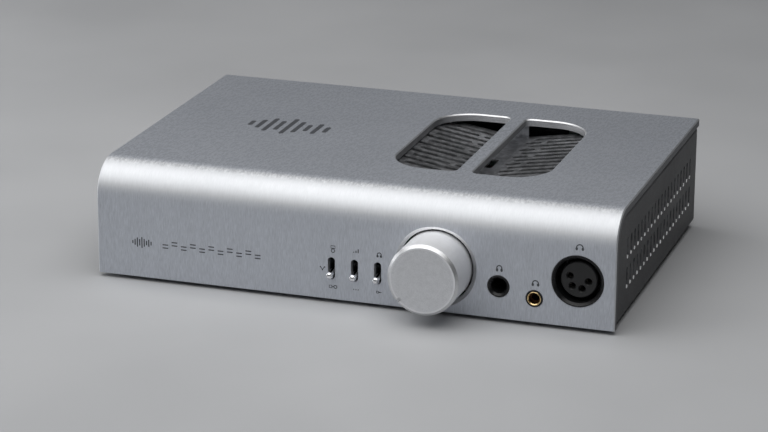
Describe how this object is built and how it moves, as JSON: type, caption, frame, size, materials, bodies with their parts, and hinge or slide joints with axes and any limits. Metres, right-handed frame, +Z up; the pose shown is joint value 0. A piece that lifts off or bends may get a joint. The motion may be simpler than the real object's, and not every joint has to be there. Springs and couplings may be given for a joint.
{
  "type": "headphone amplifier",
  "caption": "Desktop headphone amplifier: brushed aluminium wrap over a slotted steel tray, turning volume knob, toggle switches, headphone sockets, vented top and rear connectors.",
  "frame": {"origin": "on the table, in the middle of the four feet, under the middle of the aluminium cover", "axes": "+X to the right seen from the front, -Y out of the front panel, +Z up"},
  "size_m": [0.2286, 0.18, 0.0508],
  "materials": {
    "brushed_aluminium": "brushed, grain front to back on top and upright on the front",
    "grey_steel": "satin powder coat",
    "grey_steel_light": "satin powder coat",
    "satin_aluminium": "satin",
    "rubber": "matt",
    "black_steel": "black oxide",
    "bright_steel": "zinc plated",
    "nickel": "nickel plated",
    "chrome": "polished",
    "gold": "gold plated",
    "tin": "tinned",
    "black_plastic": "matt",
    "black_gloss_plastic": "gloss",
    "black_metal": "black coated casting",
    "white_plastic": "matt",
    "red_plastic": "satin",
    "sleeve_plastic": "shrink sleeve",
    "board_laminate": "solder mask",
    "core_steel": "laminated, varnished",
    "tape_yellow": "insulation tape",
    "wire_black": "insulated wire"
  },
  "bodies": {
    "main": {"board_screws": "bright_steel", "board_standoffs": "nickel", "bridge_rectifier": "black_plastic", "case_screws": "black_steel", "chassis_tray": "grey_steel", "cover_blocks": "satin_aluminium", "driver_chips": "black_plastic", "film_capacitors": "red_plastic", "filter_capacitors": "sleeve_plastic", "fuse": "white_plastic", "fuse_clips": "tin", "heat_spreaders": "satin_aluminium", "jack_35_body": "black_plastic", "jack_35_bushing": "gold", "jack_635_body": "black_plastic", "main_circuit_board": "board_laminate", "mains_inlet_blades": "nickel", "mains_inlet_body": "black_plastic", "mains_wires": "wire_black", "option_bay_plate": "grey_steel", "outer_cover": "brushed_aluminium", "output_transistors": "black_plastic", "pot_body": "black_plastic", "pot_bracket": "bright_steel", "pot_nut": "nickel", "pot_washer": "bright_steel", "power_switch_housing": "black_plastic", "power_switch_tabs": "tin", "rca_barrels": "gold", "rca_bodies": "black_plastic", "rca_centre_contacts": "gold", "rca_insulators": "white_plastic", "relays": "black_gloss_plastic", "rubber_feet": "rubber", "solder_pins": "tin", "toggle_bodies": "black_plastic", "transformer_bobbin": "white_plastic", "transformer_core": "core_steel", "transformer_frame": "bright_steel", "transformer_winding": "tape_yellow", "transistor_screws": "bright_steel", "trough_nuts": "bright_steel", "trough_studs": "bright_steel", "vent_trough": "grey_steel_light", "xlr4_insert": "black_plastic", "xlr4_shell": "black_metal", "xlr_in_inserts": "black_plastic", "xlr_in_shells": "black_metal", "xlr_out_pins": "gold", "xlr_out_shells": "black_metal", "xlr_screws": "black_steel", "xlr_socket_contacts": "gold"},
    "volume": {"volume_knob": "satin_aluminium", "knob_set_screw": "black_steel", "pot_shaft": "nickel"},
    "input_switch": {"input_lever": "chrome"},
    "gain_switch": {"gain_lever": "chrome"},
    "output_switch": {"output_lever": "chrome"},
    "power_switch": {"power_rocker": "black_gloss_plastic"}
  },
  "joints": [
    {"name": "volume_turn", "type": "hinge", "parent": "main", "child": "volume", "pos_m": [0.0377, -0.095, 0.0212], "axis": [0, 1, 0], "range_deg": [-17.5, 282.5]},
    {"name": "input_toggle", "type": "hinge", "parent": "main", "child": "input_switch", "pos_m": [-0.00805, -0.0672, 0.0154], "axis": [-1, 0, 0], "range_deg": [0, 24]},
    {"name": "gain_toggle", "type": "hinge", "parent": "main", "child": "gain_switch", "pos_m": [0.00216, -0.0672, 0.0154], "axis": [-1, 0, 0], "range_deg": [0, 24]},
    {"name": "output_toggle", "type": "hinge", "parent": "main", "child": "output_switch", "pos_m": [0.01232, -0.0672, 0.0154], "axis": [-1, 0, 0], "range_deg": [0, 24]},
    {"name": "power_rock", "type": "hinge", "parent": "main", "child": "power_switch", "pos_m": [-0.066, 0.0711, 0.0205], "axis": [-1, 0, 0], "range_deg": [0, 16]}
  ]
}
